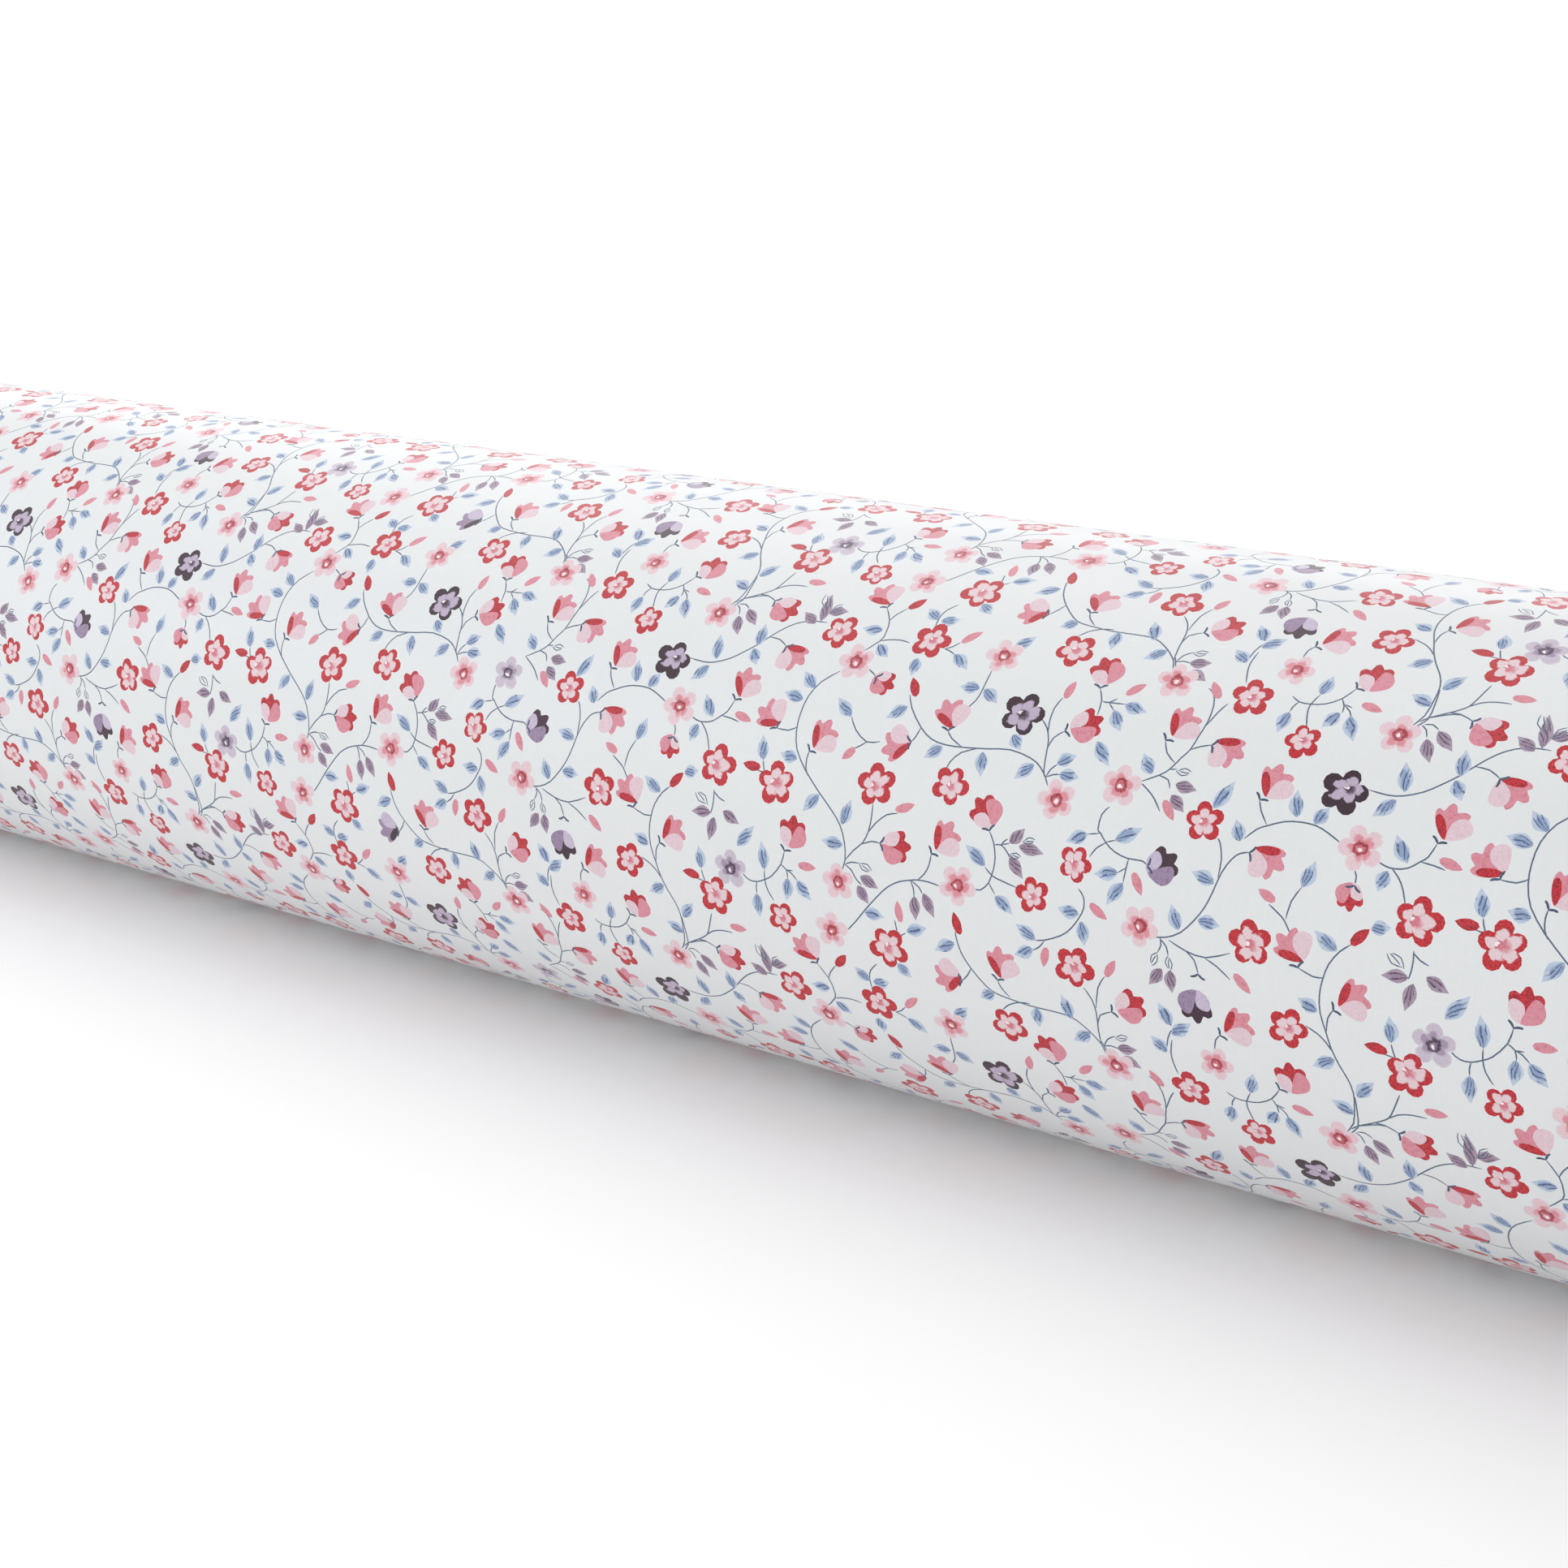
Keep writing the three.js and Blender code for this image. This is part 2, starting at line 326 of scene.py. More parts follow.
# The drawn outlines of a tulip's three petals, on its own axis: x to its right and y from base to mouth,
# in millimetres of a tulip 6.8 long.
TULIP_LENGTH = 6.8
CUP_BACK = [(0, 0.3), (-1.8, 1.5), (-3.1, 3.6), (-3.2, 5), (-2.6, 5.3), (-1.9, 5), (-1.4, 6.2), (-0.7, 6.8),
            (0.1, 6.3), (0.5, 5.3), (1.7, 5.7), (2.9, 5.4), (2.7, 4.2), (1, 0.6)]
CUP_LEFT = [(0, 0), (-1.1, 0.6), (-2.2, 1.9), (-2.9, 3.3), (-2.7, 4.2), (-1.9, 4.1), (-1, 3.2), (-0.2, 1.7)]
CUP_RIGHT = [(0, 0), (0, 1.6), (0.3, 3.2), (1.3, 4.3), (2.8, 4.5), (4, 3.5), (4.2, 2), (2.3, 0.6)]
OPEN_BACK = [(0, 0.5), (-1.6, 1.2), (-3, 2.9), (-3.4, 4.5), (-2.5, 5.2), (-1.6, 5), (-1.1, 6.4), (-0.3, 6.8),
             (0.4, 6.1), (0.8, 5.6), (1.6, 6), (2.5, 5.7), (2.9, 4.6), (2, 1.5)]
OPEN_LEFT = [(0, 0), (-1.2, 0.2), (-2.4, 1.1), (-3, 2.7), (-2.6, 3.7), (-1.4, 3.8), (-0.2, 3.2), (0.2, 1.6)]
OPEN_RIGHT = [(0, 0), (0.2, 2.2), (0.5, 3.7), (1, 4.9), (1.9, 5.1), (3, 4.4), (3.7, 3), (3.4, 1.5), (2, 0.5)]
CUP = (CUP_BACK, CUP_RIGHT, CUP_LEFT)
OPEN = (OPEN_BACK, OPEN_LEFT, OPEN_RIGHT)
PINK_CUP_INKS = ("pink_petal", "light_petal", "red_petal")
PLUM_CUP_INKS = ("lilac_petal", "pale_petal", "plum_petal")
SEPAL_BEND = ((0.9, 52), (1.7, 62))  # a sepal's points from the top of the stem, and their angles off it
STEM_REACH = 3.4  # a vine that ends this near to a tulip's base is its stem
STEM_GAP = 0.9

# ------------------------------------------------
# The inks, in the order of the face attribute "ink". Colours are sRGB, from 0 to 255.
GROUND = (217, 219, 220)


def plain_ink(colour, deep):
    """An ink with no drawing in it, only deeper blots."""
    return "plain", colour, colour, deep


INKS = {  # name: drawing, outer colour, inner colour, colour at the heart
    "ground": plain_ink(GROUND, GROUND),
    "vine": plain_ink((84, 101, 124), (70, 87, 112)),
    "sepal": plain_ink((65, 81, 108), (53, 69, 96)),
    "red_bloom": ("bloom", (186, 26, 40), (219, 196, 201), (205, 126, 141)),
    "plum_bloom": ("bloom", (50, 20, 38), (180, 164, 186), (67, 43, 67)),
    "soft_bloom": ("soft", (219, 191, 198), (209, 122, 134), (158, 33, 50)),
    "lilac_bloom": ("soft", (192, 180, 194), (148, 130, 154), (66, 42, 68)),
    "blue_leaf": ("leaf", (179, 192, 211), (126, 147, 182), (50, 68, 110)),
    "purple_leaf": ("leaf", (160, 142, 160), (142, 120, 142), (64, 44, 74)),
    "red_petal": plain_ink((188, 32, 46), (140, 12, 28)),
    "pink_petal": plain_ink((208, 135, 148), (196, 112, 127)),
    "light_petal": plain_ink((217, 192, 200), (212, 181, 190)),
    "plum_petal": plain_ink((58, 28, 48), (38, 16, 32)),
    "lilac_petal": plain_ink((147, 126, 154), (126, 104, 136)),
    "pale_petal": plain_ink((191, 178, 199), (175, 160, 184)),
}
INK_NAMES = list(INKS)


# ------------------------------------------------
# Drawing: every motif is an outline on the chart, an ink, and its own coordinates for the shader.

motifs = []  # (outline points, ink number, origin, first axis, second axis)


def rotated(point, degrees):
    """A point turned about the origin."""
    c, s = math.cos(math.radians(degrees)), math.sin(math.radians(degrees))
    return Vector((point[0] * c - point[1] * s, point[0] * s + point[1] * c))


def add_motif(outline, ink, origin=(0, 0), along=(1, 0), across=(0, 1)):
    motifs.append((outline, INK_NAMES.index(ink), Vector(origin), Vector(along), Vector(across)))


def smooth(points, steps, closed=True):
    """A Catmull-Rom curve through the points, with this many steps between each two."""
    points = [Vector(p) for p in points]
    count = len(points)
    result = []
    for i in range(count if closed else count - 1):
        p1, p2 = points[i], points[(i + 1) % count]
        p0 = points[i - 1] if closed or i else p1
        p3 = points[(i + 2) % count] if closed or i + 2 < count else p2
        for k in range(steps):
            t = k / steps
            result.append(0.5 * (2 * p1 + (p2 - p0) * t + (2 * p0 - 5 * p1 + 4 * p2 - p3) * t * t
                                 + (3 * p1 - p0 - 3 * p2 + p3) * t ** 3))
    return result if closed else result + [points[-1]]


VINE_WIDTH = 0.3
SEPAL_WIDTH = 0.46
SKETCH_WIDTH = 0.24


def add_vine(points, width=VINE_WIDTH, ink="vine"):
    """A drawn line with tapered ends."""
    line = smooth(points, 2, closed=False)
    left, right = [], []
    for i, p in enumerate(line):
        ahead = line[min(i + 1, len(line) - 1)] - line[max(i - 1, 0)]
        side = Vector((-ahead.y, ahead.x)).normalized() * width / 2
        if i in (0, len(line) - 1):
            side *= 0.5
        left.append(p + side)
        right.append(p - side)
    add_motif(left + right[::-1], ink)


LOBE_REACH = 0.63  # the middle of a petal's round end, and its radius, as shares of a bloom's radius
LOBE_RADIUS = 0.39
NOTCH = -36  # the direction of the notch before each petal, in degrees off the petal's middle
LOBE_OFFSETS = (NOTCH, -27, -13, 0, 13, 27)  # the directions of an outline's points on each petal
LOBE_SWELL = (0.93, 1.06)
LOBE_LEAN = 3


def add_bloom(x, v, diameter, direction, ink):
    """A flower of five round petals, seen from the front."""
    rng = random.Random(f"{x} {v}")
    outline = []
    for lobe in range(5):
        swell = rng.uniform(*LOBE_SWELL)
        lean = rng.uniform(-LOBE_LEAN, LOBE_LEAN)
        for degrees in LOBE_OFFSETS:
            off = math.radians(degrees)
            round_end = math.sqrt(LOBE_RADIUS ** 2 - (LOBE_REACH * math.sin(off)) ** 2)
            reach = LOBE_REACH * math.cos(off) + round_end
            if degrees != NOTCH:
                reach *= swell
            turn = direction + 72 * lobe + degrees + lean
            outline.append(Vector((x, v)) + rotated((reach * diameter / 2, 0), turn))
    axis = rotated((diameter / 2, 0), direction)
    add_motif(outline, ink, (x, v), axis, (-axis.y, axis.x))


LEAF_BEND = 0.18
BLUE_LEAF_WIDTH = 2.9
PURPLE_LEAF_WIDTH = 2.6
RED_BUD_WIDTH = 2.1
PINK_BUD_WIDTH = 1.9
BUD_BLUNTNESS = 0.2  # this much more of its half width, near a bud's base and its tip


def add_leaf(x, v, tip_x, tip_v, ink, width, blunt=0.0):
    """A pointed leaf or bud from its base to its tip, with its widest place below the middle."""
    base, axis = Vector((x, v)), Vector((tip_x - x, tip_v - v))
    side = Vector((-axis.y, axis.x)).normalized() * width / 2
    bend = random.Random(f"{x} {v}").uniform(-LEAF_BEND, LEAF_BEND)
    # Each pair is a share of the length from the base, and the share of the half width there.
    spread = [(0.1, 0.46 + blunt), (0.26, 0.86), (0.42, 1), (0.62, 0.8 + blunt / 2), (0.82, 0.36 + blunt)]
    edge = [base + axis * t + side * (h + bend * math.sin(math.pi * t)) for t, h in spread]
    back = [base + axis * t - side * (h - bend * math.sin(math.pi * t)) for t, h in reversed(spread)]
    add_motif([base] + edge + [base + axis] + back, ink, base, axis, side)


def add_tulip(petals, inks, x, v, direction, length=TULIP_LENGTH):
    """A tulip from the side: a back petal with a jagged mouth, and one petal on each side of it."""
    scale = length / TULIP_LENGTH
    base = Vector((x, v))

    def place(point):
        return base + rotated((point[1] * scale, point[0] * scale), direction)

    axis = rotated((length, 0), direction)
    for shape, ink in zip(petals, inks):
        add_motif([place(p) for p in smooth(shape, 2)], ink, base, axis, (-axis.y, axis.x))
    add_sepals(base, axis)


def add_sepals(base, axis):
    """The two short strokes that fork from the top of a tulip's stem."""
    ends = [Vector(vine[k]) + i * REPEAT_ALONG + j * REPEAT_AROUND
            for vine in VINES for k in (0, -1) for i in (-1, 0, 1) for j in (-1, 0, 1)]
    stem = min(ends, key=lambda end: (end - base).length)
    if (stem - base).length > STEM_REACH:
        stem = base - axis.normalized() * STEM_GAP
    ahead = (base + axis / 2 - stem).normalized()
    for side in (-1, 1):
        bend = [stem + rotated(ahead * reach, side * degrees) for reach, degrees in SEPAL_BEND]
        add_vine([stem] + bend, width=SEPAL_WIDTH, ink="sepal")


SKETCH_BOW = 0.24  # how far the outer strokes bow out, as a share of the leaf's length
SKETCH_STROKES = ((1, 0, 0.85), (0.1, 0.25, 0.9), (-1, 0.1, 1))  # the bow, where it starts, where it ends


def add_sketch(x, v, tip_x, tip_v):
    """A leaf drawn in a few loose strokes, with no wash."""
    base, axis = Vector((x, v)), Vector((tip_x - x, tip_v - v))
    side = Vector((-axis.y, axis.x)) * SKETCH_BOW
    for turn, start, end in SKETCH_STROKES:
        bow = [(start, 0), ((start + end) / 2, 1), (end, 0.35)]
        add_vine([base + axis * t + side * turn * h for t, h in bow], width=SKETCH_WIDTH)


def draw_chart(odd):
    """All the motifs of an even or an odd repeat, from the lowest layer to the top one."""
    motifs.clear()
    for vine in VINES:
        add_vine(vine)
    for leaf in BLUE_LEAVES:
        add_leaf(*leaf, "blue_leaf", BLUE_LEAF_WIDTH)
    for leaf in PURPLE_LEAVES:
        add_leaf(*leaf, "purple_leaf", PURPLE_LEAF_WIDTH)
    for leaf in SKETCHED_LEAVES:
        add_sketch(*leaf)
    for bud in RED_BUDS:
        add_leaf(*bud, "red_petal", RED_BUD_WIDTH, blunt=BUD_BLUNTNESS)
    for bud in PINK_BUDS:
        add_leaf(*bud, "pink_petal", PINK_BUD_WIDTH, blunt=BUD_BLUNTNESS)
    for bloom in SOFT_BLOOMS:
        add_bloom(*bloom, "soft_bloom")
    for bloom in LILAC_BLOOMS:
        add_bloom(*bloom, "lilac_bloom")
    if odd:
        add_bloom(*ODD_LILAC_BLOOM, "lilac_bloom")
    else:
        add_bloom(*EVEN_SOFT_BLOOM, "soft_bloom")
    for bloom in RED_BLOOMS:
        add_bloom(*bloom, "red_bloom")
    for bloom in PLUM_BLOOMS:
        add_bloom(*bloom, "plum_bloom")
    for tulip in CUP_TULIPS:
        add_tulip(CUP, PINK_CUP_INKS, *tulip)
    add_tulip(CUP, PLUM_CUP_INKS if odd else PINK_CUP_INKS, *CHANGING_TULIP)
    for tulip in OPEN_TULIPS:
        add_tulip(OPEN, ("red_petal", "light_petal", "pink_petal"), *tulip)
    for tulip in PLUM_TULIPS:
        add_tulip(OPEN, ("plum_petal", "pale_petal", "lilac_petal"), *tulip)


# ------------------------------------------------
# One repeat as a flat mesh. Its faces are cut along every outline, and each takes the ink on top of it.

ROWS_PER_REPEAT = 16  # rows of faces, so that the film bends round the roll
WELD = 0.01  # points of the chart nearer than this become one


def signed_area(points):
    return sum(a.x * b.y - b.x * a.y for a, b in zip(points, points[1:] + points[:1])) / 2


def repeat_mesh(odd):
    """The flat mesh of one repeat, in x and -v, with its ink, its motifs' coordinates and its bake map.

    The bake map holds an even repeat in its left half, and an odd one in its right half.
    """
    draw_chart(odd)
    corners = [WINDOW, WINDOW + REPEAT_ALONG, WINDOW + REPEAT_ALONG + REPEAT_AROUND, WINDOW + REPEAT_AROUND]
    low = Vector((min(c.x for c in corners), min(c.y for c in corners)))
    high = Vector((max(c.x for c in corners), max(c.y for c in corners)))
    points, edges, faces, origins = [], [], [], []

    def add_face(outline, motif, shift):
        """An outline for the cut, turned to face outward, and the motif that it came from."""
        flat = [Vector((p.x, -p.y)) for p in outline]
        if signed_area(flat) < 0:
            flat.reverse()
        first = len(points)
        points.extend(flat)
        faces.append(list(range(first, first + len(flat))))
        origins.append((motif, shift))

    add_face(corners, None, Vector((0, 0)))
    for row in range(1, ROWS_PER_REPEAT):
        start = WINDOW + REPEAT_AROUND * (row / ROWS_PER_REPEAT)
        points.extend(Vector((p.x, -p.y)) for p in (start, start + REPEAT_ALONG))
        edges.append((len(points) - 2, len(points) - 1))
    for motif in motifs:
        for i in (-1, 0, 1):
            for j in (-1, 0, 1):
                shift = i * REPEAT_ALONG + j * REPEAT_AROUND
                outline = [p + shift for p in motif[0]]
                if (max(p.x for p in outline) > low.x and min(p.x for p in outline) < high.x
                        and max(p.y for p in outline) > low.y and min(p.y for p in outline) < high.y):
                    add_face(outline, motif, shift)

    # A cut face lists the outlines that it lies in. The first one is the repeat, and the last one is on top.
    cut_points, _, cut_faces, _, _, lies_in = delaunay_2d_cdt(points, edges, faces, 0, WELD, True)
    kept = [(face, max(sources)) for face, sources in zip(cut_faces, lies_in) if 0 in sources]

    mesh = bpy.data.meshes.new("repeat")
    mesh.from_pydata([(p.x, p.y, 0) for p in cut_points], [], [face for face, _ in kept])
    ink = mesh.attributes.new("ink", "FLOAT", "FACE")
    mark = mesh.uv_layers.new(name="mark")
    tile = mesh.uv_layers.new(name="tile")
    bake = mesh.uv_layers.new(name="OFBake")
    slant = REPEAT_ALONG.x * REPEAT_AROUND.y - REPEAT_ALONG.y * REPEAT_AROUND.x
    corner = 0
    for index, (face, source) in enumerate(kept):
        motif, shift = origins[source]
        ink.data[index].value = motif[1] if motif else 0
        for vertex in face:
            p = Vector((cut_points[vertex].x, -cut_points[vertex].y))
            if motif:
                off = p - shift - motif[2]
                mark.data[corner].uv = (off.dot(motif[3]) / motif[3].length_squared,
                                        off.dot(motif[4]) / motif[4].length_squared)
            into = p - WINDOW
            tile.data[corner].uv = into
            share_along = (into.x * REPEAT_AROUND.y - into.y * REPEAT_AROUND.x) / slant
            share_around = (into.y * REPEAT_ALONG.x - into.x * REPEAT_ALONG.y) / slant
            bake.data[corner].uv = ((share_along + odd) / 2, share_around)
            corner += 1
    mesh.update()
    return mesh


# ------------------------------------------------
# The printed film: repeats side by side, cut at the cloth's edges, and wrapped round the roll.

COLUMNS = 10
COLUMNS_PER_PIECE = 2
FIRST_COLUMN = -5
TUCK = math.radians(2)  # the film runs on this far under the loose end
SLANT_MARGIN = 8  # the far columns of a row lie up to this far above or below it
PRESSED_BELOW = 0.02  # the film lies flat on the floor where it is lower than this


def chart_v(angle):
    """How far down the chart an angle on the roll is."""
    return angle * OUTER_RADIUS - CHART_V


def film_piece(repeats, columns, name):
    """The film over some columns of repeats, cut at the cloth's edges and wrapped round the roll."""
    half = CLOTH_WIDTH / 2
    v_top, v_bottom = chart_v(LOOSE_END - TURN - TUCK), chart_v(LOOSE_END)
    first_row = math.floor((v_top - WINDOW.y) / REPEAT_AROUND.y) - 1
    last_row = math.ceil((v_bottom - WINDOW.y) / REPEAT_AROUND.y) + 1
    bm = bmesh.new()
    for i in columns:
        for j in range(first_row, last_row):
            shift = i * REPEAT_ALONG + j * REPEAT_AROUND
            top = WINDOW.y + shift.y - SLANT_MARGIN
            if top > v_bottom or top + REPEAT_AROUND.y + 2 * SLANT_MARGIN < v_top:
                continue
            before = len(bm.verts)
            bm.from_mesh(repeats[i % 2])
            bm.verts.ensure_lookup_table()
            bmesh.ops.translate(bm, verts=bm.verts[before:], vec=(shift.x + CHART_X, -shift.y, 0))
    for place, outward in (
        ((half, 0, 0), (1, 0, 0)),
        ((-half, 0, 0), (-1, 0, 0)),
        ((0, -v_top, 0), (0, 1, 0)),
        ((0, -v_bottom, 0), (0, -1, 0)),
    ):
        bmesh.ops.bisect_plane(bm, geom=bm.verts[:] + bm.edges[:] + bm.faces[:], dist=1e-5,
                               plane_co=place, plane_no=outward, clear_outer=True)
    mesh = bpy.data.meshes.new(name)
    bm.to_mesh(mesh)
    bm.free()
    return wrap_film(mesh, name)


def wrap_film(mesh, name):
    """Bends a flat piece of film round the roll, and gives it the cloth's own coordinates."""
    count = len(mesh.vertices)
    flat = np.empty(count * 3)
    mesh.vertices.foreach_get("co", flat)
    flat = flat.reshape(-1, 3)
    angle = (CHART_V - flat[:, 1]) / OUTER_RADIUS
    radius = radius_at(angle)
    y, z = wrap(angle, radius)
    placed = np.column_stack([flat[:, 0], y, z]) * MM
    mesh.vertices.foreach_set("co", placed.ravel())

    cloth = mesh.uv_layers.new(name="cloth")
    vertex = np.empty(len(mesh.loops), int)
    mesh.loops.foreach_get("vertex_index", vertex)
    cloth.data.foreach_set("uv", flat[vertex, :2].ravel())

    pressed = z < PRESSED_BELOW
    normals = np.column_stack([np.zeros(count), -np.sin(angle), np.cos(angle)])
    normals[pressed] = (0, 0, -1)
    mesh.polygons.foreach_set("use_smooth", np.ones(len(mesh.polygons), bool))
    mesh.update()
    mesh.normals_split_custom_set_from_vertices(normals)
    piece = bpy.data.objects.new(name, mesh)
    bpy.context.scene.collection.objects.link(piece)
    return piece


# ------------------------------------------------
# The wound cloth under the film, one sheet from the loose end to the eye.

STEPS_PER_TURN = 72
EDGE_INSET = 0.6  # the mean of how far a turn's cut edge lies inside the roll's end
EDGE_WAVES = ((0.3, 0.061, 0), (0.2, 0.173, 1), (0.08, 1.31, 0))  # how far it drifts, how fast, and the phase
END_PHASE = 2  # so that the two ends differ


def turned_edge(back):
    """How far the cut edge of a turn lies inside the roll's end, because the turns never line up quite."""
    drift = EDGE_INSET
    for size, pace, phase in EDGE_WAVES:
        drift += size * math.sin(back * pace + phase)
    return drift * min(1, back / TURN)


def wound_cloth():
    """The whole cloth as one closed strip, with four points at each step: outer face, then inner face."""
    turns = (OUTER_RADIUS - EYE_RADIUS) / TURN_PITCH
    steps = int(turns * STEPS_PER_TURN)
    half = CLOTH_WIDTH / 2
    verts, faces = [], []
    for i in range(steps + 1):
        back = TURN * i / STEPS_PER_TURN
        angle = LOOSE_END - back
        outer = radius_at(angle) - FILM
        ends = (-half + turned_edge(back), half - turned_edge(back + END_PHASE))
        for radius in (outer, outer - CLOTH_THICKNESS):
            y, z = wrap(angle, radius)
            verts.extend((x * MM, float(y) * MM, float(z) * MM) for x in ends)
    for i in range(steps):
        a, b = 4 * i, 4 * (i + 1)
        faces.append((a, a + 1, b + 1, b))
        faces.append((a + 2, b + 2, b + 3, a + 3))
        faces.append((a, b, b + 2, a + 2))
        faces.append((a + 1, a + 3, b + 3, b + 1))
    last = 4 * steps
    faces.append((0, 2, 3, 1))
    faces.append((last, last + 1, last + 3, last + 2))
    mesh = bpy.data.meshes.new("oilcloth_turns")
    mesh.from_pydata(verts, [], faces)
    mesh.update()
    piece = bpy.data.objects.new("oilcloth_turns", mesh)
    bpy.context.scene.collection.objects.link(piece)
    return piece


# ------------------------------------------------
# Materials.


def linear(colour):
    """An sRGB colour from 0 to 255 as the linear one that the shader takes."""
    shares = [value / 255 for value in colour]
    return [c / 12.92 if c <= 0.04045 else ((c + 0.055) / 1.055) ** 2.4 for c in shares] + [1]


class Graph:
    """Short ways to add and join shader nodes."""

    def __init__(self, material):
        material.use_nodes = True
        self.tree = material.node_tree
        self.shader = self.tree.nodes["Principled BSDF"]

    def node(self, kind, inputs=None, **settings):
        node = self.tree.nodes.new(kind)
        for key, value in settings.items():
            setattr(node, key, value)
        for key, value in (inputs or {}).items():
            self.put(value, node.inputs[key])
        return node

    def put(self, value, socket):
        if isinstance(value, bpy.types.NodeSocket):
            self.tree.links.new(value, socket)
        else:
            socket.default_value = value

    def math(self, operation, *values):
        return self.node("ShaderNodeMath", dict(enumerate(values)), operation=operation).outputs[0]

    def vector(self, operation, *values):
        return self.node("ShaderNodeVectorMath", dict(enumerate(values)), operation=operation).outputs[0]

    def product(self, first, *others):
        for other in others:
            first = self.math("MULTIPLY", first, other)
        return first

    def squares(self, x, y):
        return self.math("ADD", self.math("MULTIPLY", x, x), self.math("MULTIPLY", y, y))

    def distance(self, x, y):
        return self.math("SQRT", self.squares(x, y))

    def split(self, vector):
        """The x and y of a vector."""
        return self.node("ShaderNodeSeparateXYZ", {0: vector}).outputs[:2]

    def channel(self, colour, index):
        return self.node("ShaderNodeSeparateColor", {0: colour}).outputs[index]

    def mix(self, factor, a, b, blend="MIX"):
        node = self.node("ShaderNodeMix", data_type="RGBA", blend_type=blend)
        self.put(factor, node.inputs[0])
        self.put(a, node.inputs[6])
        self.put(b, node.inputs[7])
        return node.outputs[2]

    def ramp(self, value, low, high, start=0.0, end=1.0):
        """A smooth step from start to end as the value goes from low to high."""
        return self.node("ShaderNodeMapRange", {0: value, 1: low, 2: high, 3: start, 4: end},
                         interpolation_type="SMOOTHSTEP").outputs[0]

    def noise(self, vector, scale, detail=2.0, output="Fac"):
        inputs = {"Vector": vector, "Scale": scale, "Detail": detail}
        return self.node("ShaderNodeTexNoise", inputs).outputs[output]

    def shaken(self, vector, noise, amount):
        """A vector moved by a noise colour, by up to half this amount each way."""
        centred = self.vector("SUBTRACT", noise, (0.5,) * 3)
        return self.vector("ADD", vector, self.vector("MULTIPLY", centred, (amount,) * 3))

    def palette(self, factor, colours):
        """A ramp of flat steps, one for each colour."""
        node = self.node("ShaderNodeValToRGB", {0: factor})
        ramp = node.color_ramp
        ramp.interpolation = "CONSTANT"
        while len(ramp.elements) < len(colours):
            ramp.elements.new(1)
        for i, colour in enumerate(colours):
            ramp.elements[i].position = i / len(colours)
            ramp.elements[i].color = colour
        return node.outputs[0]


# Places and sizes inside a bloom are shares of its radius, and inside a leaf shares of its length and half
# width. A disc is its middle, its radius and its blur. Petals are their reach, their radius and their blur.
BLOOM_PETALS = (0.41, 0.25, 0.035)
BLOOM_BLOT = ((0.07, 0.07), 0.22, 0.08)
BLOOM_DOT = ((-0.10, -0.08), 0.075, 0.03)
BLOOM_DOT_COLOUR = (240, 226, 230)
SOFT_HALO = (LOBE_REACH, LOBE_RADIUS, 0.11)
SOFT_STAR = (0.36, 0.22, 0.08)
SOFT_RING = ((0, 0), 0.32, 0.05)
SOFT_EYE = ((-0.02, 0.03), 0.20, 0.04)
SOFT_DOT = ((-0.06, 0.07), 0.10, 0.04)
SOFT_DOT_COLOUR = (244, 226, 230)
OUTLINE_SHAKE = 0.28
INNER_SHIFT = 0.5  # how unevenly a bloom's inner drawing sits in its outline
LEAF_MIDDLE = 0.38  # the deeper wash is an ellipse round this place on the leaf's axis
LEAF_WASH = (0.36, 0.62)  # half its length, and half its width
STROKE_PACE = 10.0  # radians over half a leaf's width, which gives it about three strokes
STROKE_PHASES = 30.0  # so that no two leaves near each other have the same strokes


def lobes(graph, across, along, reach, radius, blur):
    """1 within five round petals, and 0 outside them."""
    angle = graph.math("ARCTAN2", along, across)
    folded = graph.math("PINGPONG", angle, math.radians(36))
    out = graph.distance(across, along)
    x = graph.math("SUBTRACT", graph.math("MULTIPLY", out, graph.math("COSINE", folded)), reach)
    y = graph.math("MULTIPLY", out, graph.math("SINE", folded))
    return graph.ramp(graph.distance(x, y), radius + blur, radius - blur)


def disc(graph, x, y, centre, radius, blur):
    """1 within a disc, and 0 outside it."""
    dx, dy = graph.math("SUBTRACT", x, centre[0]), graph.math("SUBTRACT", y, centre[1])
    return graph.ramp(graph.distance(dx, dy), radius + blur, radius - blur)


def bloom_colour(graph, inner_x, inner_y, inks):
    """A dark rim round five pale petals, with a blot and a small light dot in the middle."""
    outer, inner, heart = inks
    bloom = graph.mix(lobes(graph, inner_x, inner_y, *BLOOM_PETALS), outer, inner)
    blot = graph.math("MULTIPLY", disc(graph, inner_x, inner_y, *BLOOM_BLOT), 0.8)
    bloom = graph.mix(blot, bloom, heart)
    return graph.mix(disc(graph, inner_x, inner_y, *BLOOM_DOT), bloom, linear(BLOOM_DOT_COLOUR))


def soft_colour(graph, x, y, inner_x, inner_y, inks):
    """Pale petals that fade at the edge, a deeper star, and a ring round a light dot."""
    outer, inner, heart = inks
    soft = graph.mix(lobes(graph, x, y, *SOFT_HALO), linear(GROUND), outer)
    star = lobes(graph, inner_x, inner_y, *SOFT_STAR)
    soft = graph.mix(graph.math("MULTIPLY", star, 0.85), soft, inner)
    soft = graph.mix(graph.math("MULTIPLY", disc(graph, x, y, *SOFT_RING), 0.95), soft, heart)
    soft = graph.mix(graph.math("MULTIPLY", disc(graph, x, y, *SOFT_EYE), 0.65), soft, inner)
    return graph.mix(disc(graph, x, y, *SOFT_DOT), soft, linear(SOFT_DOT_COLOUR))


